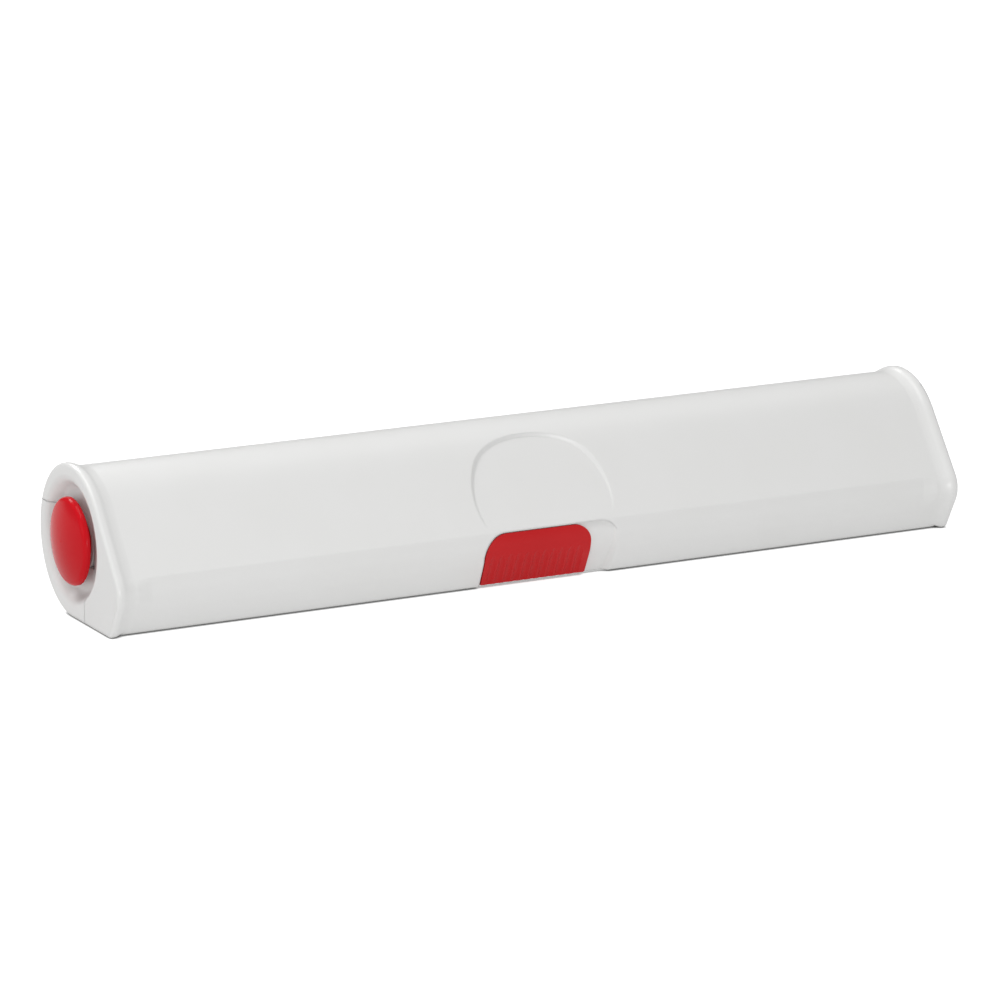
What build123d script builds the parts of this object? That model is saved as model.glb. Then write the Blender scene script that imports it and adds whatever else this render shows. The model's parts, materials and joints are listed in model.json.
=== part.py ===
from build123d import *
from math import acos, asin, atan2, cos, degrees, hypot, radians, sin, sqrt, tan
import os

# Hand-held cling film dispenser: a hinged two-shell casing of D-like section round a roll of film.
# Working frame: X along the casing, -Y is the front, Z is up, z = 0 is the table,
# y = 0 is the roll's axis. Every part is moved in Y on export, so that the whole box is centred.

# ---------------------------------------------------------------- driving dimensions, mm
LENGTH = 375.6             # end face to end face, without the knobs
RING_R = 30.35             # round back of the end rings; also the height of the roll's axis
SLOPE_DEG = 53.1           # front slope, from the horizontal
NOSE_Z = 18.9              # height of the nose before rounding
FOOT_Y = -36.0             # front lower corner of the end ring before rounding
NOSE_R = 10.0              # rounding of the ring's nose
FOOT_R = 2.4               # rounding of the ring's front lower corner
CREASE_UP = 5.9            # crease of the body's nose, up the slope from the sharp nose
CREASE_TURN = 18.0         # degrees that the surface turns at the crease; an arc turns the rest
CREASE_FADE = 6.0          # length over which the crease fades out before the end rings
CAVITY_NOSE_R = 9.0
BEAD_RISE = 1.6            # the end rings stand this proud of the body
BEAD_FLAT = 2.8            # width of the ring's outer band
BEAD_FLARE = 3.6           # length of the slope from the band down to the body
END_EDGE_R = 1.3           # rounding of the end face's outer edge
BAND_EDGE_R = 3.0          # rounding between the band and the flare
FLARE_FOOT_R = 9.0         # hollow rounding between the flare and the body
WALL = 2.4                 # shell thickness
LID_EDGE_Z = 0.65          # lower edge of the lid's front wall
SEAM_Z = 41.3              # split between lid and base at the back
SEAM_GAP = 0.2

END_RECESS_R = 24.3        # dished recess round each knob
END_RECESS_FLOOR_R = 20.6
END_RECESS_DEPTH = 4.5
RECESS_RIM_R = 3.4         # soft rounding of the recess's rim
RECESS_FLOOR_R = 3.0       # and of the hollow corner round its floor
END_WALL = 3.2             # end wall behind the recess
JOURNAL_R = 12.0
JOURNAL_CLEARANCE = 0.08
END_SPLIT_Y = -12.3        # vertical split between lid and base below the recess

KNOB_R = 17.3
KNOB_RIM_INSET = 0.3       # the plane of the knob's rim lies this far inside the end face
KNOB_LIP = 0.7             # the rim goes this much deeper, as a thin lip over the recess
KNOB_DOME = 4.4            # from the rim's plane to the top of the dome
KNOB_SHOULDER = 1.5        # the dome starts this far outside the rim's plane
KNOB_SHOULDER_R = 2.2
KNOB_SKIN = 1.8
KNOB_HUB = (7.2, 9.0)      # inner and outer radius of the tube that enters the plug
KNOB_BOSS_R = 4.5

HINGE_R = 2.3              # knuckle
HINGE_PIN_R = 1.0
HINGE_STATIONS = (-112.0, 112.0)
KNUCKLE_HALF = 22.0        # half the length of one hinge station
LID_KNUCKLE_HALF = 7.7
KNUCKLE_GAP = 0.3

DISH_X = 0.6               # thumb dish on the slope
DISH_R = 30.3
DISH_UP = 18.5             # its centre, up the slope from the sharp nose
DISH_DEPTH = 1.3
DISH_WALL = 2.0            # width of its sloping side
DISH_LIFT = 1.3            # its oval is this much taller than wide, upwards
DISH_FLOOR_START = 8.0     # where its floor leaves the surface, up the slope from the nose

POCKET_X = (-30.6, 29.6)   # pocket that the latch button slides in
POCKET_FOOT_X = -28.6      # its left side leans in with the button's
POCKET_RAMP = 1.4          # its right wall leans out by this much for each mm of depth
POCKET_TOP_Z = 23.3
POCKET_CORNER_R = (9.5, 7.0)
POCKET_DEPTH_LOW = 2.0
POCKET_DEPTH_TOP = 0.6
POCKET_NOSE_R = 12.0
POCKET_SECTION_TOP = 30.0  # the sections that shape the pocket end here, well above it
PAD_X = (-37.0, 37.0)      # thick part of the lid behind the pocket
PAD_DEPTH = 4.2            # depth of its inner face under the outer surface
BUTTON_X = (-30.2, 17.2)   # at the top; the sides lean to the right downwards
BUTTON_FOOT_X = (-28.3, 18.2)
BUTTON_TOP_Z = 22.9
BUTTON_CORNER_R = (9.5, 7.2)
BUTTON_FOOT_R = 0.6
BUTTON_LEAN = 0.07         # the ribs lean by this much to the left for each mm up
BUTTON_BOTTOM_Z = 1.3
LATCH_TRAVEL = 9.0
RIB_COUNT = 11
RIB_PITCH = 3.85
RIB_GROOVE_R = 2.2         # the ribs stand between round-bottomed grooves this deep
RIB_GROOVE_D = 0.6
RIB_START_S = 2.6
STEM_X = (-14.0, 2.0)
STEM_S = (7.0, 11.4)
HOOK_TABS = (-20.0, 12.0)  # centres of the two hook tabs and of the keepers over them
TAB_WIDTH = 8.0

FILM_HALF = 150.0
FILM_R = 21.5
CORE_HALF = 152.5
CORE_R = 17.0
CORE_BORE_R = 15.0

BLADE_HALF = 158.0
BLADE_S = (8.0, 14.6)      # up the lower front face: bottom of the blade, root of the teeth
BLADE_D = 10.4             # depth of the blade behind the lower front face
BLADE_T = 0.4
TOOTH_PITCH = 4.0
TOOTH_H = 1.9
UPSTAND_T = 2.0
SCREW_X = (-140.0, -70.0, 0.0, 70.0, 140.0)
SCREW_S = 10.0
CLAMP_D = 9.6              # depth of the clamp strip's front face
UPSTAND_TOP_S = 13.2
UPSTAND_HALF = 164.0
LEDGE_Z = 16.0             # shelf behind the blade, under the grip strip
LEDGE_T = 1.8
LEDGE_BACK_Y = -24.5
GRIP_FRONT_Y = -28.2
GRIP_TOP_Z = 16.8
RIB_X = (-150.0, -100.0, -50.0, 50.0, 100.0, 150.0)
PRESS_Y = -26.8            # the lid's press rib stands over the grip strip
PRESS_RIB_Z = 19.4
PRESS_FOOT_Z = 17.1
LEADER_T = 0.12
SLIT_BASE = 3.9            # the film slit, behind the front wall's foot
SLIT_LID = 3.0

HOOK_S = (3.4, 14.0)
HOOK_X = (-29.5, 16.5)
HOOK_T = 1.6
HOOK_REACH_D = 8.2
RAIL_S = ((1.9, 3.1), (14.9, 16.2))
LATCH_SCREW_X = (-10.0, -2.0)
LATCH_SCREW_S = 9.2
PLUG_WEB_X = (180.0, 182.0)
KNOB_SCREW_END_X = 189.5
KNOB_SCREW_R = 1.2

END = LENGTH / 2
INNER_END = END - END_RECESS_DEPTH - END_WALL
HINGE_Z = SEAM_Z
HINGE_Y = sqrt(RING_R**2 - (HINGE_Z - RING_R) ** 2)


# ---------------------------------------------------------------- section of the casing
SLOPE = radians(SLOPE_DEG)
SLOPE_OUT = (-sin(SLOPE), cos(SLOPE))
SLOPE_UP = (cos(SLOPE), sin(SLOPE))
NOSE_Y = ((NOSE_Z - RING_R) * cos(SLOPE) - RING_R) / sin(SLOPE)
LOW_LENGTH = hypot(FOOT_Y - NOSE_Y, NOSE_Z)
LOW_UP = ((NOSE_Y - FOOT_Y) / LOW_LENGTH, NOSE_Z / LOW_LENGTH)
LOW_IN = (LOW_UP[1], -LOW_UP[0])


def along(origin, *steps):
    """A point reached from origin by (direction, distance) steps."""
    y, z = origin
    for direction, distance in steps:
        y += direction[0] * distance
        z += direction[1] * distance
    return (y, z)


def low_point(inset, z):
    """The point at height z on the lower front face moved inwards by inset."""
    y0, z0 = along((FOOT_Y, 0), (LOW_IN, inset))
    return (y0 + (z - z0) * LOW_UP[0] / LOW_UP[1], z)


def sharp_nose(inset):
    """Where the slope and the lower front face meet when both are moved inwards."""
    y0, _ = low_point(inset, 0)
    lean = LOW_UP[0] / LOW_UP[1]
    reach = RING_R - inset
    z = (reach + RING_R * SLOPE_OUT[1] - y0 * SLOPE_OUT[0]) / (lean * SLOPE_OUT[0] + SLOPE_OUT[1])
    return (y0 + z * lean, z)


def tangent_point(inset):
    return along((0, RING_R), (SLOPE_OUT, RING_R - inset))


def round_corner(face, corner, radius):
    near = face.vertices().sort_by_distance(Vector(*corner, 0))[0]
    return fillet(near, radius)


def section(inset, nose_r, foot_r):
    """Closed section of the casing moved inwards by inset, in local (Y, Z)."""
    start, nose, foot = tangent_point(inset), sharp_nose(inset), low_point(inset, inset)
    back = CenterArc((0, RING_R), RING_R - inset, 90 + SLOPE_DEG, -180 - SLOPE_DEG)
    front = Polyline((0, inset), foot, nose, start)
    face = round_corner(make_face([back, front]), nose, nose_r)
    return round_corner(face, foot, foot_r) if foot_r else face


def creased_section(inset, foot_r):
    """The same with a nose that breaks from the slope in a crease, then rounds into the lower face."""
    start, nose, foot = tangent_point(inset), sharp_nose(inset), low_point(inset, inset)
    nose_turn = 180 - SLOPE_DEG - degrees(atan2(LOW_UP[1], -LOW_UP[0]))
    half_arc = radians(nose_turn - CREASE_TURN) / 2
    at_crease = radians(CREASE_TURN) + half_arc
    crease = along(nose, (SLOPE_UP, CREASE_UP))
    arc_end = along(nose, (LOW_UP, -CREASE_UP * sin(at_crease) / sin(half_arc)))
    chord = hypot(crease[0] - arc_end[0], crease[1] - arc_end[1])
    chord_in = ((arc_end[1] - crease[1]) / chord, (crease[0] - arc_end[0]) / chord)
    middle = ((crease[0] + arc_end[0]) / 2, (crease[1] + arc_end[1]) / 2)
    bulge = chord / 2 * tan(half_arc / 2)
    arc = ThreePointArc(arc_end, along(middle, (chord_in, bulge)), crease)
    back = CenterArc((0, RING_R), RING_R - inset, 90 + SLOPE_DEG, -180 - SLOPE_DEG)
    face = make_face([back, Polyline((0, inset), foot, arc_end), arc, Line(crease, start)])
    return round_corner(face, foot, foot_r)


BODY = creased_section(BEAD_RISE, FOOT_R - BEAD_RISE)
BODY_END = section(BEAD_RISE, NOSE_R - BEAD_RISE, FOOT_R - BEAD_RISE)
CAVITY_INSET = BEAD_RISE + WALL
CAVITY = section(CAVITY_INSET, CAVITY_NOSE_R, 0)


def prism(face, x0, x1):
    """Extrude a section drawn in local (Y, Z) from x0 to x1."""
    return extrude(Plane.YZ.offset(x0) * face, amount=x1 - x0)


def polygon(*points):
    return make_face(Polyline(*points, close=True))


def front_point(s, d):
    """s up the body's lower front face from the table, d behind it."""
    return along(low_point(BEAD_RISE, 0), (LOW_UP, s), (LOW_IN, d))


def front_strip(s0, s1, d0, d1, x0, x1):
    """A bar lying along the lower front face, behind it by d0 to d1."""
    corners = (front_point(s0, d0), front_point(s1, d0), front_point(s1, d1), front_point(s0, d1))
    return prism(polygon(*corners), x0, x1)


def turned(profile):
    """Turn a closed (x, radius) profile about the roll's axis."""
    face = make_face(Polyline(*profile, close=True))
    solid = revolve(face, Axis.X, 360)
    return Pos(0, 0, RING_R) * solid


def rod(x0, x1, radius, y=0.0, z=RING_R):
    return Pos(x0, y, z) * Rot(0, 90, 0) * Cylinder(radius, x1 - x0, align=(Align.CENTER, Align.CENTER, Align.MIN))


def both_ends(shape):
    return [shape, mirror(shape, about=Plane.YZ)]


def loop_edges(shape, x, reach=1e-3):
    return [e for e in shape.edges() if abs(e.bounding_box().min.X - x) < reach
            and abs(e.bounding_box().max.X - x) < reach]


# ---------------------------------------------------------------- casing before it is split
def casing_block():
    """Solid outer form: body, flared end rings and the dished recesses in the end faces."""
    ring = section(0, NOSE_R, FOOT_R)
    band_x = END - BEAD_FLAT
    flare_x = band_x - BEAD_FLARE
    plain_x = flare_x - 3
    fade_x = plain_x - CREASE_FADE
    cap = prism(ring, band_x, END)
    flare = loft([Plane.YZ.offset(flare_x) * BODY_END, Plane.YZ.offset(band_x) * ring], ruled=True)
    end_piece = cap + flare + prism(BODY_END, plain_x, flare_x)
    end_piece = fillet(loop_edges(end_piece, band_x), BAND_EDGE_R)
    end_piece = fillet(loop_edges(end_piece, flare_x), FLARE_FOOT_R)
    end_piece = fillet(loop_edges(end_piece, END), END_EDGE_R)
    end_piece -= turned([(END, 0), (END, END_RECESS_R), (END - END_RECESS_DEPTH, END_RECESS_FLOOR_R),
                         (END - END_RECESS_DEPTH, 0)])
    for radius, rounding in ((END_RECESS_R, RECESS_RIM_R), (END_RECESS_FLOOR_R, RECESS_FLOOR_R)):
        circles = [e for e in end_piece.edges().filter_by(GeomType.CIRCLE) if abs(e.radius - radius) < 0.01]
        end_piece = fillet(circles, rounding)
    fade = loft([Plane.YZ.offset(fade_x) * BODY, Plane.YZ.offset(plain_x) * BODY_END], ruled=True)
    return fuse([prism(BODY, -fade_x, fade_x), *both_ends(fade + end_piece)])


def fuse(shapes):
    total = shapes[0]
    for shape in shapes[1:]:
        total = total + shape
    return total


def split_regions():
    """The space that belongs to the base, and the same space grown by the seam's gap."""
    front_y = low_point(BEAD_RISE, BEAD_RISE)[0]
    regions = []
    for grow, slit, tongue_y in ((-SEAM_GAP / 2, SLIT_BASE, JOURNAL_R + JOURNAL_CLEARANCE),
                                 (SEAM_GAP / 2, SLIT_LID, JOURNAL_R - 0.15)):
        top = SEAM_Z + grow
        slit_y = front_y + slit
        split_y = END_SPLIT_Y - grow
        middle = prism(polygon((slit_y, -5), (60, -5), (60, top), (0, top), (0, 10), (slit_y, 10)),
                       -INNER_END, INNER_END)
        end = polygon((split_y, -5), (60, -5), (60, top), (tongue_y, top), (tongue_y, RING_R),
                      (split_y, RING_R))
        regions.append(fuse([middle, *both_ends(prism(end, INNER_END, END + 5))]))
    return regions


def hollow(block):
    """The roll's bay, the lightening pockets in front of the end recesses, and nothing else."""
    bay = prism(CAVITY, -INNER_END, INNER_END)
    recess_back = Pos(0, RING_R) * Circle(END_RECESS_R + WALL)
    pocket = prism(CAVITY - recess_back, INNER_END - 1, END - WALL)
    return block - bay - fuse(both_ends(pocket))


def journal_bore(radius):
    return fuse(both_ends(rod(INNER_END - 1, END, radius)))


# ---------------------------------------------------------------- hinge
def knuckle(x0, x1, gusset):
    web = prism(polygon((HINGE_Y, HINGE_Z), (HINGE_Y + HINGE_R, HINGE_Z), *gusset), x0, x1)
    return rod(x0, x1, HINGE_R, HINGE_Y, HINGE_Z) + web


def hinge_spans(centre):
    """The lid's knuckle and the base's two knuckles of one station, as spans in X."""
    inner = LID_KNUCKLE_HALF + KNUCKLE_GAP
    lid_span = (centre - LID_KNUCKLE_HALF, centre + LID_KNUCKLE_HALF)
    base_spans = [(centre - KNUCKLE_HALF, centre - inner), (centre + inner, centre + KNUCKLE_HALF)]
    return lid_span, base_spans


def hinge_relief(x0, x1):
    return rod(x0 - KNUCKLE_GAP, x1 + KNUCKLE_GAP, HINGE_R + 0.35, HINGE_Y, HINGE_Z)


def hinge_pin(centre):
    return rod(centre - KNUCKLE_HALF + 0.5, centre + KNUCKLE_HALF - 0.5, HINGE_PIN_R, HINGE_Y, HINGE_Z)


# ---------------------------------------------------------------- base
def base_shell(block, region):
    shell = (block - journal_bore(JOURNAL_R + JOURNAL_CLEARANCE)) & region
    horn = prism(polygon((END_SPLIT_Y - 1, RING_R - 9), (-8, RING_R - 9), (-8, 40), (END_SPLIT_Y - 1, 40)),
                 INNER_END - 1, END + 1)
    shell -= fuse(both_ends(horn))
    notch_y = front_point(0, PAD_DEPTH)[0] + 1.0
    notch = prism(polygon((-40, -1), (notch_y, -1), (notch_y, 5), (-40, 5)), PAD_X[0] - 0.6, PAD_X[1] + 0.6)
    shell -= notch

    d0 = BLADE_D + BLADE_T
    upstand = front_strip(-4.0, UPSTAND_TOP_S, d0, d0 + UPSTAND_T, -UPSTAND_HALF, UPSTAND_HALF)
    core_d = d0 + UPSTAND_T / 2
    ledge_y = low_point(BEAD_RISE + core_d, LEDGE_Z)[0]
    ledge = prism(polygon((ledge_y, LEDGE_Z), (LEDGE_BACK_Y, LEDGE_Z), (LEDGE_BACK_Y, LEDGE_Z - LEDGE_T),
                          (ledge_y + LEDGE_T / 2, LEDGE_Z - LEDGE_T)), -UPSTAND_HALF, UPSTAND_HALF)
    rib = polygon(low_point(BEAD_RISE + core_d, LEDGE_Z - 1), (LEDGE_BACK_Y - 0.5, LEDGE_Z - 1),
                  (LEDGE_BACK_Y + 2, 3.5), low_point(BEAD_RISE + core_d, 3.5))
    ribs = [prism(rib, x - 0.8, x + 0.8) for x in RIB_X]
    keepers = [front_strip(5.3, 6.9, 6.6, d0 + 0.5, c - TAB_WIDTH / 2, c + TAB_WIDTH / 2) for c in HOOK_TABS]
    shell = fuse([shell, upstand, ledge, *ribs, *keepers])
    for x in SCREW_X:
        shell -= front_rod(x, SCREW_S, d0 - 0.1, d0 + UPSTAND_T + 0.1, 1.0)

    gusset = ((28.5, 33.0), (26.5, 33.0), (26.5, SEAM_Z - 0.3))
    for centre in HINGE_STATIONS:
        lid_span, base_spans = hinge_spans(centre)
        shell -= hinge_relief(*lid_span)
        for span in base_spans:
            shell += knuckle(*span, gusset)
        shell -= rod(centre - 30, centre + 30, HINGE_PIN_R, HINGE_Y, HINGE_Z)
    return shell


def front_plane(depth):
    """Drawing plane on the lower front face: x along the casing, y up the face, z outwards."""
    y, z = front_point(0, depth)
    return Plane(origin=(0, y, z), x_dir=(1, 0, 0), z_dir=(0, -LOW_IN[0], -LOW_IN[1]))


def front_rod(x, s, d0, d1, radius):
    """A round bar square to the lower front face, from depth d0 to d1."""
    return extrude(front_plane(d1) * Pos(x, s) * Circle(radius), amount=d1 - d0)


def blade():
    """Steel strip with a saw-tooth upper edge and a row of screw holes."""
    low, root = BLADE_S
    teeth = []
    count = round(2 * BLADE_HALF / TOOTH_PITCH)
    for i in range(count):
        x = -BLADE_HALF + i * TOOTH_PITCH
        teeth += [(x, root), (x + TOOTH_PITCH / 2, root + TOOTH_H)]
    outline = [(-BLADE_HALF, low), *teeth, (BLADE_HALF, root), (BLADE_HALF, low)]
    strip = extrude(front_plane(BLADE_D + BLADE_T) * polygon(*outline), amount=BLADE_T)
    for x in SCREW_X:
        strip -= front_rod(x, SCREW_S, BLADE_D - 1, BLADE_D + 1, 1.1)
    return strip


def blade_clamp():
    bar = front_strip(SCREW_S - 1.6, SCREW_S + 1.6, CLAMP_D, BLADE_D, -BLADE_HALF + 1, BLADE_HALF - 1)
    for x in SCREW_X:
        bar -= front_rod(x, SCREW_S, CLAMP_D - 1, BLADE_D + 1, 1.1)
    return bar


def pan_screw(x, s, head_d, head_r, head_t, shank_r, length):
    """Pan-head screw driven square to the lower front face; its head sits in front of head_d."""
    head = front_rod(x, s, head_d - head_t, head_d, head_r)
    rims = head.edges().filter_by(GeomType.CIRCLE).sort_by_distance(front_vector(x, s, head_d - head_t))
    head = fillet(rims[0], 0.35)
    slot = front_strip(s - head_r, s + head_r, head_d - head_t - 0.1, head_d - head_t + 0.4, x - 0.25, x + 0.25)
    return head - slot + front_rod(x, s, head_d, head_d + length, shank_r)


def front_vector(x, s, d):
    return Vector(x, *front_point(s, d))


def blade_screws():
    return [pan_screw(x, SCREW_S, CLAMP_D, 1.9, 0.9, 1.0, BLADE_D - CLAMP_D + BLADE_T + 1.8) for x in SCREW_X]


def grip_strip():
    """Soft strip on the ledge that the film lies on."""
    y0, y1 = GRIP_FRONT_Y, LEDGE_BACK_Y - 0.4
    return prism(polygon((y0, LEDGE_Z), (y1, LEDGE_Z), (y1, GRIP_TOP_Z), (y0, GRIP_TOP_Z)), -BLADE_HALF, BLADE_HALF)


def film_leader():
    """Loose end of the film, from the roll's front down to the grip strip."""
    gap = 0.04
    z0 = GRIP_TOP_Z + gap
    corner = (LEDGE_BACK_Y - 0.4, z0)
    reach = hypot(corner[0], corner[1] - RING_R)
    radius = FILM_R + 0.3
    tangent = radians(180) + asin((RING_R - corner[1]) / reach) - acos(radius / reach)
    top = (radius * cos(tangent), RING_R + radius * sin(tangent))
    out = (cos(tangent) * LEADER_T, sin(tangent) * LEADER_T)
    tail_y = GRIP_FRONT_Y + 0.2
    sheet = polygon((tail_y, z0), corner, top, (top[0] + out[0], top[1] + out[1]),
                    (corner[0] + out[0], corner[1] + LEADER_T), (tail_y, z0 + LEADER_T))
    return prism(sheet, -FILM_HALF + 1, FILM_HALF - 1)


# ---------------------------------------------------------------- lid
def slope_point(inset, z):
    return (((z - RING_R) * cos(SLOPE) - (RING_R - inset)) / sin(SLOPE), z)


def slope_height(inset, y):
    return (y * sin(SLOPE) + RING_R - inset) / cos(SLOPE) + RING_R


def thumb_dish():
    """Cutter for the dish: a coned rim round a floor that deepens up the slope, then follows the top."""
    nose = sharp_nose(BEAD_RISE)
    spread = DISH_WALL / DISH_DEPTH
    rims = []
    for height in (3.0, -5.0):
        y, z = along(nose, (SLOPE_UP, DISH_UP + DISH_LIFT), (SLOPE_OUT, height))
        plane = Plane(origin=(DISH_X, y, z), x_dir=(1, 0, 0), z_dir=(0, *SLOPE_OUT))
        grow = height * spread
        rims.append(plane * Ellipse(DISH_R + grow, DISH_R + DISH_LIFT + grow))
    cone = loft(rims, ruled=True)
    floor_r = RING_R - BEAD_RISE - DISH_DEPTH
    start = along(nose, (SLOPE_UP, DISH_FLOOR_START))
    bend = along((0, RING_R), (SLOPE_OUT, floor_r))
    arc = CenterArc((0, RING_R), floor_r, 90 + SLOPE_DEG, -SLOPE_DEG + 5)
    far = arc @ 1
    clear_y, clear_z = start[0] - 20, far.Y + 20
    edges = Polyline((far.X, far.Y), (far.X, clear_z), (clear_y, clear_z), (clear_y, start[1]), start, bend)
    above = make_face([arc, edges])
    return cone & prism(above, -DISH_R - 10, DISH_R + 10)


def behind_front(low, nose, high, nose_r):
    """Section of everything behind a lower front face and a slope that meet in a rounded nose."""
    return round_corner(polygon(low, nose, high, (40, high[1]), (40, low[1])), nose, nose_r)


def pocket_back(shift):
    """Everything behind the floor of the latch pocket, which deepens downwards."""
    low = front_point(-2.5, POCKET_DEPTH_LOW - shift)
    nose = sharp_nose(BEAD_RISE + POCKET_DEPTH_TOP + 0.3 - shift)
    high = slope_point(BEAD_RISE + POCKET_DEPTH_TOP - shift, POCKET_SECTION_TOP)
    return behind_front(low, nose, high, POCKET_NOSE_R)


def pocket_ramp():
    """What stays at the pocket's right end: a wall that leans outwards as the pocket gets deeper."""
    depth = POCKET_DEPTH_LOW + 0.5
    faces = []
    for inset in (0.0, depth):
        outer = BEAD_RISE + inset
        face = behind_front(low_point(outer, -3), sharp_nose(outer), slope_point(outer, POCKET_SECTION_TOP),
                            POCKET_NOSE_R)
        faces.append(Plane.YZ.offset(POCKET_X[1] - inset * POCKET_RAMP) * face)
    return loft(faces, ruled=True)


def front_outline(corners, radii):
    """A block seen square from the front, with its corners (x, z) rounded."""
    face = polygon(*corners)
    for corner, radius in zip(corners, radii):
        if radius:
            face = round_corner(face, corner, radius)
    return extrude(Plane.XZ.offset(26) * face, amount=34)


def latch_pocket():
    left, right = POCKET_X
    corners = ((left, POCKET_TOP_Z), (right, POCKET_TOP_Z), (right, -3), (POCKET_FOOT_X, -3))
    block = front_outline(corners, (*POCKET_CORNER_R, 0, 0))
    return block - prism(pocket_back(0), left - 2, right + 2) - pocket_ramp()


def lid_front_pad():
    """Thick part of the front wall that carries the latch, and the two rails for its plate."""
    inner = BEAD_RISE + PAD_DEPTH
    outer = BEAD_RISE + 1.0
    corners = (low_point(outer, LID_EDGE_Z), sharp_nose(outer), slope_point(outer, 27),
               slope_point(inner, 27), sharp_nose(inner), low_point(inner, LID_EDGE_Z + 0.6))
    pad = prism(round_corner(polygon(*corners), sharp_nose(outer), POCKET_NOSE_R), *PAD_X)
    rails = [front_strip(s0, s1, PAD_DEPTH - 0.2, PAD_DEPTH + 1.9, -32, 28) for s0, s1 in RAIL_S]
    return fuse([pad, *rails])


def lid_shell(block, keep_out):
    shell = block - journal_bore(JOURNAL_R + 0.3) - keep_out
    flare_x = END - BEAD_FLAT - BEAD_FLARE
    edge = polygon(low_point(BEAD_RISE, 3.2), low_point(BEAD_RISE, LID_EDGE_Z),
                   low_point(CAVITY_INSET, LID_EDGE_Z), low_point(CAVITY_INSET, 3.2))
    edge = fillet(edge.vertices().sort_by_distance(Vector(*low_point(BEAD_RISE, LID_EDGE_Z), 0))[0], 0.6)
    shell = fuse([shell, prism(edge, -flare_x - 1, flare_x + 1), lid_front_pad()])
    shell -= thumb_dish()
    shell -= latch_pocket()
    slot = front_strip(STEM_S[0] - 0.3, STEM_S[1] + 0.3, -1, PAD_DEPTH + 3,
                       STEM_X[0] - 0.3, STEM_X[1] + LATCH_TRAVEL + 0.3)
    shell -= slot

    y0, y1 = PRESS_Y - 1, PRESS_Y + 1
    rib = polygon((y0, PRESS_RIB_Z), (y1, PRESS_RIB_Z), (y1, slope_height(CAVITY_INSET - 0.5, y1)),
                  (y0, slope_height(CAVITY_INSET - 0.5, y0)))
    shell += prism(rib, -UPSTAND_HALF, UPSTAND_HALF)
    gusset = ((23.2, 47.0), (22.0, 46.0), (25.2, SEAM_Z + 0.3))
    for centre in HINGE_STATIONS:
        lid_span, base_spans = hinge_spans(centre)
        for span in base_spans:
            shell -= hinge_relief(*span)
        shell += knuckle(*lid_span, gusset)
        shell -= rod(centre - 30, centre + 30, HINGE_PIN_R + 0.06, HINGE_Y, HINGE_Z)
    return shell


def press_strip():
    """Silicone channel pushed onto the lid's rib; it holds the film down on the grip strip."""
    y0, y1 = PRESS_Y - 1.6, PRESS_Y + 1.6
    outline = polygon((y0, PRESS_FOOT_Z), (y1, PRESS_FOOT_Z), (y1, PRESS_RIB_Z + 1.8), (PRESS_Y + 1, PRESS_RIB_Z + 1.8),
                      (PRESS_Y + 1, PRESS_RIB_Z), (PRESS_Y - 1, PRESS_RIB_Z), (PRESS_Y - 1, PRESS_RIB_Z + 1.8),
                      (y0, PRESS_RIB_Z + 1.8))
    return prism(outline, -UPSTAND_HALF + 1, UPSTAND_HALF - 1)


# ---------------------------------------------------------------- latch
def latch_button():
    """Ribbed button flush with the casing, with a stem through the lid's slot."""
    left, right = BUTTON_X
    foot_left, foot_right = BUTTON_FOOT_X
    corners = ((left, BUTTON_TOP_Z), (right, BUTTON_TOP_Z), (foot_right, BUTTON_BOTTOM_Z),
               (foot_left, BUTTON_BOTTOM_Z))
    block = front_outline(corners, (*BUTTON_CORNER_R, BUTTON_FOOT_R, BUTTON_FOOT_R))
    toe = polygon(low_point(BEAD_RISE, 6), low_point(BEAD_RISE, LID_EDGE_Z), low_point(BEAD_RISE + 5, LID_EDGE_Z),
                  low_point(BEAD_RISE + 5, 6))
    reach = (left - 1, foot_right + 1)
    button = block & (prism(BODY + toe, *reach) - prism(pocket_back(0.12), *reach))
    middle = (left + right) / 2 + 1.0
    radius = RIB_GROOVE_R
    for i in range(RIB_COUNT):
        x = middle + (i - (RIB_COUNT - 1) / 2) * RIB_PITCH
        start = front_vector(x, RIB_START_S, RIB_GROOVE_D - radius)
        way = front_vector(x - BUTTON_LEAN, RIB_START_S + 1, RIB_GROOVE_D - radius) - start
        groove = Plane(origin=start, z_dir=way) * Cylinder(radius, 20, align=(Align.CENTER, Align.CENTER, Align.MIN))
        button = button - groove - Pos(*start) * Sphere(radius)
    stem = front_strip(*STEM_S, POCKET_DEPTH_LOW - 0.6, PAD_DEPTH + 0.1, *STEM_X)
    button += stem
    for x in LATCH_SCREW_X:
        button -= front_rod(x, LATCH_SCREW_S, 1.5, PAD_DEPTH + 1, 0.8)
    return button


def latch_hook():
    """Inner plate of the latch with two hook tabs that lock under the base's keepers."""
    d0 = PAD_DEPTH + 0.1
    plate = front_strip(*HOOK_S, d0, d0 + HOOK_T, *HOOK_X)
    tabs = [front_strip(HOOK_S[0], HOOK_S[0] + 1.6, d0 + HOOK_T - 0.2, HOOK_REACH_D, c - TAB_WIDTH / 2, c + TAB_WIDTH / 2)
            for c in HOOK_TABS]
    hook = fuse([plate, *tabs])
    for x in LATCH_SCREW_X:
        hook -= front_rod(x, LATCH_SCREW_S, d0 - 1, d0 + HOOK_T + 1, 0.8)
    return hook


def latch_screws():
    """Two screws from inside; their heads are on the hook plate, so they point outwards."""
    screws = []
    base_d = PAD_DEPTH + 0.1 + HOOK_T
    for x in LATCH_SCREW_X:
        head = front_rod(x, LATCH_SCREW_S, base_d, base_d + 0.9, 1.5)
        slot = front_strip(LATCH_SCREW_S - 1.5, LATCH_SCREW_S + 1.5, base_d + 0.5, base_d + 1.0, x - 0.2, x + 0.2)
        screws.append(head - slot + front_rod(x, LATCH_SCREW_S, 1.7, base_d, 0.8))
    return screws


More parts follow.
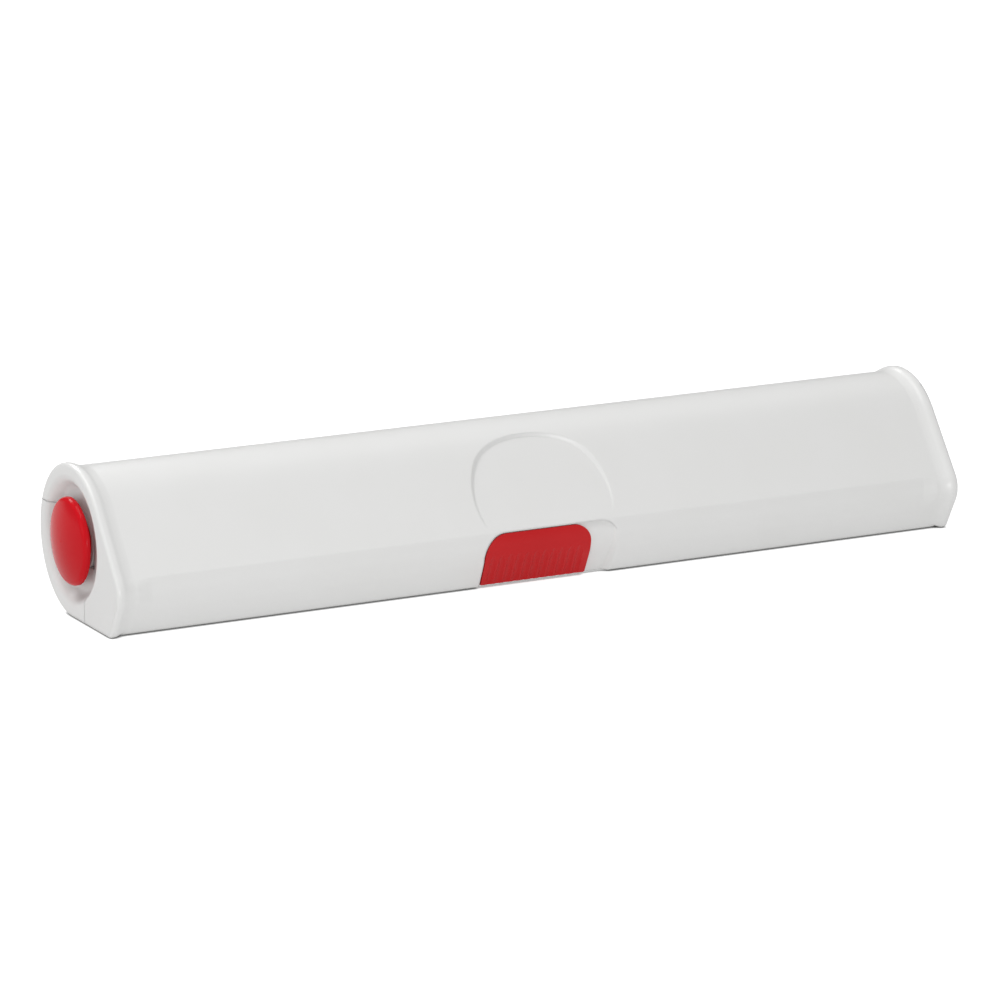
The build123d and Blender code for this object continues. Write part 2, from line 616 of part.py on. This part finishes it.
def friction_spring():
    """Bowed steel leaf between the hook plate and the upper rail; it keeps the latch where it is put."""
    s0 = HOOK_S[1] + 0.03
    rise = RAIL_S[1][0] - 0.05 - s0 - 0.25
    half = 11.0
    x_mid = (HOOK_X[0] + HOOK_X[1]) / 2
    lower = ThreePointArc((x_mid - half, s0), (x_mid, s0 + rise), (x_mid + half, s0))
    upper = ThreePointArc((x_mid - half, s0 + 0.25), (x_mid, s0 + rise + 0.25), (x_mid + half, s0 + 0.25))
    sides = [Line(lower @ 0, upper @ 0), Line(lower @ 1, upper @ 1)]
    leaf = make_face([lower, upper, *sides])
    return extrude(front_plane(PAD_DEPTH + 0.1 + HOOK_T - 0.1) * leaf, amount=HOOK_T - 0.3)


# ---------------------------------------------------------------- roll
def dome_profile(x, radius, rise):
    """Arc from radius at x to the axis at x + rise."""
    ball_r = (radius**2 + rise**2) / (2 * rise)
    half_turn = asin(radius / ball_r) / 2
    centre = x + rise - ball_r
    return ThreePointArc((x, radius), (centre + ball_r * cos(half_turn), ball_r * sin(half_turn)), (x + rise, 0))


def domed_disc(back_x, shoulder_x, radius, rise):
    """Solid disc about the roll's axis with a domed outer face."""
    top_x = shoulder_x + rise
    sides = Polyline((top_x, 0), (back_x, 0), (back_x, radius), (shoulder_x, radius))
    face = make_face([dome_profile(shoulder_x, radius, rise), sides])
    return Pos(0, 0, RING_R) * revolve(face, Axis.X, 360)


def knob():
    """Domed end knob of the right end: a thin shell with a lip, a hub tube and a screw boss."""
    rim_x = END - KNOB_RIM_INSET
    back_x = rim_x - KNOB_LIP
    shoulder_x = rim_x + KNOB_SHOULDER
    rise = KNOB_DOME - KNOB_SHOULDER
    disc = domed_disc(back_x, shoulder_x, KNOB_R, rise)
    edge = [e for e in disc.edges().filter_by(GeomType.CIRCLE) if abs(e.center().X - shoulder_x) < 0.01]
    disc = fillet(edge, KNOB_SHOULDER_R)
    inner = domed_disc(back_x - 1, shoulder_x - KNOB_SKIN, KNOB_R - KNOB_SKIN, rise)
    seat_x = PLUG_WEB_X[1]
    inside_x = rim_x + KNOB_DOME - KNOB_SKIN
    hub = rod(seat_x, inside_x - 0.4, KNOB_HUB[1]) - rod(seat_x - 1, inside_x, KNOB_HUB[0])
    boss = rod(seat_x, inside_x + 0.5, KNOB_BOSS_R)
    return disc - inner + hub + boss - rod(seat_x - 1, KNOB_SCREW_END_X, KNOB_SCREW_R)


def plug():
    """Right-hand core plug: journal, flange, neck, shoulder and a ribbed spigot for the core."""
    journal_x = END - END_RECESS_DEPTH
    flange_x = INNER_END - 0.3
    shoulder_x = CORE_HALF + 0.1
    tip_x = CORE_HALF - 22
    bore = 11.0
    web0, web1 = PLUG_WEB_X
    body = turned([(web1, 1.3), (web1, 9.8), (journal_x, 9.8), (journal_x, JOURNAL_R), (flange_x, JOURNAL_R),
                   (flange_x, CORE_R), (flange_x - 2, CORE_R), (flange_x - 2, 13.4), (shoulder_x + 2, 13.4),
                   (shoulder_x + 2, CORE_R), (shoulder_x, CORE_R), (shoulder_x, 14.4), (tip_x + 2, 14.4),
                   (tip_x, 13.2), (tip_x, bore), (web0, bore), (web0, 1.3)])
    fin = Pos(tip_x + 3, 0, 0) * Box(CORE_HALF - tip_x - 4, 1.6, 1.0, align=(Align.MIN, Align.CENTER, Align.MIN))
    fins = [Pos(0, 0, RING_R) * Rot(60 * i, 0, 0) * Pos(0, 0, CORE_BORE_R - 1.1) * fin for i in range(6)]
    return fuse([body, *fins])


def knob_screw():
    web0 = PLUG_WEB_X[0]
    head = rod(web0 - 1.3, web0, 2.5)
    slot = Pos(web0 - 1.3, 0, RING_R) * Box(1.2, 0.6, 5.2)
    return head - slot + rod(web0, KNOB_SCREW_END_X - 0.5, 1.2)


def tube(half, inner_r, outer_r):
    return turned([(-half, inner_r), (half, inner_r), (half, outer_r), (-half, outer_r)])


# ---------------------------------------------------------------- assembly
def build():
    block = hollow(casing_block())
    base_space, lid_keep_out = split_regions()
    parts = {
        "base_shell": [base_shell(block, base_space)],
        "lid_shell": [lid_shell(block, lid_keep_out)],
        "cutting_blade": [blade()],
        "blade_clamp_strip": [blade_clamp()],
        "blade_screws": blade_screws(),
        "grip_strip": [grip_strip()],
        "film_leader": [film_leader()],
        "press_strip": [press_strip()],
        "latch_button": [latch_button()],
        "latch_hook_plate": [latch_hook()],
        "latch_screws": latch_screws(),
        "latch_friction_spring": [friction_spring()],
        "core_tube": [tube(CORE_HALF, CORE_BORE_R, CORE_R)],
        "film_roll": [tube(FILM_HALF, CORE_R, FILM_R)],
    }
    for side, centre in zip(("left", "right"), HINGE_STATIONS):
        parts["hinge_pin_" + side] = [hinge_pin(centre)]
    for name, shape in (("end_knob", knob()), ("core_plug", plug()), ("knob_screw", knob_screw())):
        parts[name + "_right"] = [shape]
        parts[name + "_left"] = [mirror(shape, about=Plane.YZ)]
    return parts


def export(parts):
    os.makedirs("parts", exist_ok=True)
    front = section(0, NOSE_R, FOOT_R).bounding_box().min.X
    frame_y = -(front + HINGE_Y + HINGE_R) / 2
    for name, shapes in parts.items():
        solids = [Pos(0, frame_y, 0) * solid for shape in shapes for solid in shape.solids()]
        whole = solids[0] if len(solids) == 1 else Compound(children=solids)
        export_step(whole, f"parts/{name}.step")
    print(f"roll axis y {frame_y:.4f} z {RING_R}; hinge axis y {frame_y + HINGE_Y:.4f} z {HINGE_Z}")


export(build())
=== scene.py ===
import json
import math

import bpy
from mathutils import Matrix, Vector


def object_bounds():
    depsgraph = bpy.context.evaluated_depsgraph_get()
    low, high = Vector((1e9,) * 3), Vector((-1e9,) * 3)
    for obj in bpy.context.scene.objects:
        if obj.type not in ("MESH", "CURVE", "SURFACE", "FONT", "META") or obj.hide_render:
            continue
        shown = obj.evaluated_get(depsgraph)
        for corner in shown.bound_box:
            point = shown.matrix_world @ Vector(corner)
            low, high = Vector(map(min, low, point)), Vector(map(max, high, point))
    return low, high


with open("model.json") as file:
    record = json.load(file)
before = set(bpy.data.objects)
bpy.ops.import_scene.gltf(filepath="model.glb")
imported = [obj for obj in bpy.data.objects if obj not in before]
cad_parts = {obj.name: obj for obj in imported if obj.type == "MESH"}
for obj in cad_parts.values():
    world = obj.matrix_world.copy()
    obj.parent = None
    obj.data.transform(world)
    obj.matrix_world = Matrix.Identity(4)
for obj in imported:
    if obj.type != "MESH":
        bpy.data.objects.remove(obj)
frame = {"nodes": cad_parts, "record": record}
CAD_LOW, CAD_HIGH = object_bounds()
NODES = frame["nodes"]

# ---------------------------------------------------------------- camera
LOOK_OFFSET = Vector((-0.00219, 0.00516, -0.00453))   # from the middle of the object's box
VIEW_AZIMUTH = math.radians(27.79)                    # the left end is nearer the camera
VIEW_ELEVATION = math.radians(13.79)
VIEW_DISTANCE = 2.1139
VIEW_LENS = 190.26                                    # millimetres, on the sensor width below
SENSOR_WIDTH = 36
CLIP_END = 50

middle = (Vector(CAD_LOW) + Vector(CAD_HIGH)) / 2
look_at = middle + LOOK_OFFSET
away = Vector((-math.sin(VIEW_AZIMUTH) * math.cos(VIEW_ELEVATION),
               -math.cos(VIEW_AZIMUTH) * math.cos(VIEW_ELEVATION),
               math.sin(VIEW_ELEVATION)))
camera_data = bpy.data.cameras.new("camera")
camera_data.lens = VIEW_LENS
camera_data.sensor_width = SENSOR_WIDTH
camera_data.clip_end = CLIP_END
camera = bpy.data.objects.new("camera", camera_data)
camera.location = look_at + away * VIEW_DISTANCE
camera.rotation_euler = away.to_track_quat("Z", "Y").to_euler()
bpy.context.scene.collection.objects.link(camera)
bpy.context.scene.camera = camera
bpy.context.scene.view_settings.view_transform = "Standard"


# ---------------------------------------------------------------- node helpers
NOISE_LOW, NOISE_HIGH = 0.3, 0.7      # nearly all of a noise texture lies between these
EDGE_SAMPLES = 8


def new_material(name):
    material = bpy.data.materials.new(name)
    material.use_nodes = True
    tree = material.node_tree
    shader = tree.nodes["Principled BSDF"]
    return material, tree, shader


def coordinates(tree, scale):
    """Object coordinates stretched by scale along each axis."""
    source = tree.nodes.new("ShaderNodeTexCoord")
    mapping = tree.nodes.new("ShaderNodeMapping")
    mapping.inputs["Scale"].default_value = scale
    tree.links.new(source.outputs["Object"], mapping.inputs["Vector"])
    return mapping.outputs["Vector"]


def noise(tree, scale, detail=3.0, stretch=(1, 1, 1)):
    node = tree.nodes.new("ShaderNodeTexNoise")
    node.inputs["Scale"].default_value = scale
    node.inputs["Detail"].default_value = detail
    tree.links.new(coordinates(tree, stretch), node.inputs["Vector"])
    return node.outputs["Fac"]


def remap(tree, value, low, high, to_low, to_high):
    node = tree.nodes.new("ShaderNodeMapRange")
    for socket, number in (("From Min", low), ("From Max", high), ("To Min", to_low), ("To Max", to_high)):
        node.inputs[socket].default_value = number
    tree.links.new(value, node.inputs["Value"])
    return node.outputs["Result"]


def spread(tree, noise_value, to_low, to_high):
    """Noise stretched over the whole of a range."""
    return remap(tree, noise_value, NOISE_LOW, NOISE_HIGH, to_low, to_high)


def blend_colour(tree, factor, first, second):
    node = tree.nodes.new("ShaderNodeMix")
    node.data_type = "RGBA"
    node.inputs["A"].default_value = (*first, 1)
    node.inputs["B"].default_value = (*second, 1)
    tree.links.new(factor, node.inputs["Factor"])
    return node.outputs["Result"]


def colour_between(tree, shader, factor, first, second):
    tree.links.new(blend_colour(tree, factor, first, second), shader.inputs["Base Color"])


def uneven_gloss(tree, shader, noise_value, smoothest, roughest):
    tree.links.new(spread(tree, noise_value, smoothest, roughest), shader.inputs["Roughness"])


def rounded_edges(tree, radius):
    """Normals that run smoothly round every edge, as a mould leaves them."""
    node = tree.nodes.new("ShaderNodeBevel")
    node.samples = EDGE_SAMPLES
    node.inputs["Radius"].default_value = radius
    return node.outputs["Normal"]


def bump(tree, shader, heights, normal=None):
    """Chain of bumps, each (height socket, strength, distance)."""
    for height, strength, distance in heights:
        node = tree.nodes.new("ShaderNodeBump")
        node.inputs["Strength"].default_value = strength
        node.inputs["Distance"].default_value = distance
        tree.links.new(height, node.inputs["Height"])
        if normal:
            tree.links.new(normal, node.inputs["Normal"])
        normal = node.outputs["Normal"]
    tree.links.new(normal, shader.inputs["Normal"])


# ---------------------------------------------------------------- materials
def moulded_plastic(name, colour, shade, roughness, specular=0.5, coat=0.0, peel=0.02, edge=0.0003):
    """Injection-moulded plastic: faint flow clouds, fine grain, orange peel and slightly uneven gloss.

    peel is the strength of the orange peel, edge the radius that every edge is shaded with.
    """
    material, tree, shader = new_material(name)
    clouds = spread(tree, noise(tree, 35, 2), 0, 1)
    colour_between(tree, shader, clouds, colour, shade)
    handling = noise(tree, 60, 3, (0.5, 1, 1))
    uneven_gloss(tree, shader, handling, roughness - 0.02, roughness + 0.03)
    grain = noise(tree, 2500, 2)
    waves = noise(tree, 420, 1)
    bump(tree, shader, [(grain, 0.05, 0.00003), (waves, peel, 0.0002)], rounded_edges(tree, edge))
    shader.inputs["Specular IOR Level"].default_value = specular
    shader.inputs["Coat Weight"].default_value = coat
    shader.inputs["Coat Roughness"].default_value = 0.08
    return material


def brushed_steel(name):
    material, tree, shader = new_material(name)
    streaks = noise(tree, 900, 5, (0.03, 1, 1))
    colour_between(tree, shader, streaks, (0.50, 0.51, 0.52), (0.66, 0.67, 0.68))
    uneven_gloss(tree, shader, streaks, 0.22, 0.42)
    shader.inputs["Metallic"].default_value = 1.0
    bump(tree, shader, [(streaks, 0.15, 0.00005)])
    return material


def silicone(name):
    material, tree, shader = new_material(name)
    dust = noise(tree, 1500, 4)
    colour_between(tree, shader, dust, (0.70, 0.72, 0.71), (0.80, 0.81, 0.80))
    uneven_gloss(tree, shader, dust, 0.45, 0.65)
    shader.inputs["Subsurface Weight"].default_value = 0.3
    shader.inputs["Subsurface Radius"].default_value = (0.002, 0.002, 0.002)
    bump(tree, shader, [(dust, 0.2, 0.0001)])
    return material


def wound_film(name, coat):
    """Clear film, stretched in fine bands round the roll, with soft hoops along it."""
    material, tree, shader = new_material(name)
    bands = noise(tree, 300, 4, (1, 0.02, 0.02))
    layers = noise(tree, 90, 3, (0.04, 1, 1))
    colour_between(tree, shader, bands, (0.66, 0.74, 0.75), (0.82, 0.87, 0.87))
    uneven_gloss(tree, shader, layers, 0.08, 0.22)
    shader.inputs["Transmission Weight"].default_value = 0.25
    shader.inputs["IOR"].default_value = 1.48
    shader.inputs["Coat Weight"].default_value = coat
    shader.inputs["Coat Roughness"].default_value = 0.05
    bump(tree, shader, [(bands, 0.25, 0.0002), (layers, 0.2, 0.0004)])
    return material


def card(name):
    """Grey-brown board wound from strips, with fibres lying along the strip."""
    material, tree, shader = new_material(name)
    fibres = noise(tree, 700, 6, (0.3, 1, 1))
    colour_between(tree, shader, fibres, (0.36, 0.26, 0.17), (0.58, 0.46, 0.33))
    shader.inputs["Roughness"].default_value = 0.85
    bump(tree, shader, [(fibres, 0.5, 0.0002)])
    return material


MATERIALS = {
    "casing_white": moulded_plastic("casing_white", (0.745, 0.745, 0.735), (0.755, 0.755, 0.748), 0.30,
                                    peel=0.01, edge=0.0012),
    "knob_red": moulded_plastic("knob_red", (0.55, 0.008, 0.014), (0.58, 0.010, 0.017), 0.13,
                                specular=0.07, coat=0.02),
    "button_red": moulded_plastic("button_red", (0.50, 0.010, 0.012), (0.53, 0.012, 0.015), 0.38,
                                  specular=0.22, edge=0.00015),
    "plug_grey": moulded_plastic("plug_grey", (0.66, 0.66, 0.645), (0.70, 0.70, 0.69), 0.45),
    "steel": brushed_steel("steel"),
    "silicone_clear": silicone("silicone_clear"),
    "film": wound_film("film", 0.3),
    "core_card": card("core_card"),
}


def dress(obj, slot):
    obj.data.materials.clear()
    obj.data.materials.append(MATERIALS[slot])


for part in frame["record"]["subparts"]:
    dress(NODES[part["node"]], part["material_slot"])


# ---------------------------------------------------------------- room and light
FLOOR_HALF = 9.0
FLOOR_GREY = (0.30, 0.30, 0.30)
FLOOR_TINT = 0.995                    # the floor's darkest patches against its grey
FLOOR_GLOW = 0.47                     # what lights the object from below
FLOOR_BACKLIGHT = 0.95                # what the camera sees
CONTACT_REACH = 0.0018
CONTACT_SAMPLES = 16
CONTACT_DARK, CONTACT_OPEN = 0.15, 0.75
ROOM_LIGHT = 0.45
ROOM_LIGHT_IN_GLOSS = 0.12


def contact_shade(tree, reach):
    """1 on the open floor, falling to 0 in the narrow gap where the object stands."""
    node = tree.nodes.new("ShaderNodeAmbientOcclusion")
    node.samples = CONTACT_SAMPLES
    node.inputs["Distance"].default_value = reach
    return remap(tree, node.outputs["AO"], CONTACT_DARK, CONTACT_OPEN, 0, 1)


def floor_material(name, colour, glow, backlight):
    """Sweep that the camera sees lit to white, and that lights the object only a little."""
    material, tree, shader = new_material(name)
    tint = noise(tree, 2, 2)
    colour_between(tree, shader, tint, colour, tuple(FLOOR_TINT * c for c in colour))
    shader.inputs["Roughness"].default_value = 0.9
    shader.inputs["Specular IOR Level"].default_value = 0.1
    shader.inputs["Emission Color"].default_value = (1, 1, 1, 1)
    path = tree.nodes.new("ShaderNodeLightPath")
    lit = tree.nodes.new("ShaderNodeMath")
    lit.operation = "MULTIPLY"
    tree.links.new(remap(tree, path.outputs["Is Camera Ray"], 0, 1, glow, backlight), lit.inputs[0])
    tree.links.new(contact_shade(tree, CONTACT_REACH), lit.inputs[1])
    tree.links.new(lit.outputs["Value"], shader.inputs["Emission Strength"])
    return material


floor_mesh = bpy.data.meshes.new("floor")
corners = [(-FLOOR_HALF, -FLOOR_HALF, 0), (FLOOR_HALF, -FLOOR_HALF, 0), (FLOOR_HALF, FLOOR_HALF, 0),
           (-FLOOR_HALF, FLOOR_HALF, 0)]
floor_mesh.from_pydata(corners, [], [(0, 1, 2, 3)])
floor = bpy.data.objects.new("floor", floor_mesh)
bpy.context.scene.collection.objects.link(floor)
floor.data.materials.append(floor_material("floor", FLOOR_GREY, FLOOR_GLOW, FLOOR_BACKLIGHT))


def studio_world(sky, sky_in_gloss):
    """Even pale room light; glossy surfaces reflect a dimmer room, as they do among soft boxes."""
    world = bpy.data.worlds.new("world")
    world.use_nodes = True
    tree = world.node_tree
    background = tree.nodes["Background"]
    background.inputs["Color"].default_value = (1, 1, 1, 1)
    path = tree.nodes.new("ShaderNodeLightPath")
    tree.links.new(remap(tree, path.outputs["Is Glossy Ray"], 0, 1, sky, sky_in_gloss),
                   background.inputs["Strength"])
    bpy.context.scene.world = world


def area_light(name, direction, distance, size, power):
    """Soft box that shines on the object from that direction."""
    data = bpy.data.lights.new(name, "AREA")
    data.shape = "RECTANGLE"
    data.size, data.size_y = size
    data.energy = power
    light = bpy.data.objects.new(name, data)
    away_from_object = Vector(direction).normalized()
    light.location = middle + away_from_object * distance
    light.rotation_euler = away_from_object.to_track_quat("Z", "Y").to_euler()
    bpy.context.scene.collection.objects.link(light)


# name, direction from the object, distance, width and height, watts
SOFT_BOXES = (
    ("overhead", (-0.31, 0.0, 0.95), 1.8, (1.3, 1.1), 16),
    ("front", (-0.25, -0.95, 0.10), 1.8, (1.2, 0.4), 9),
    ("left", (-0.93, -0.20, 0.30), 1.6, (0.8, 0.6), 2),
    ("back", (-0.1, 0.75, 0.65), 1.8, (1.2, 0.5), 14),
)
studio_world(ROOM_LIGHT, ROOM_LIGHT_IN_GLOSS)
for soft_box in SOFT_BOXES:
    area_light(*soft_box)
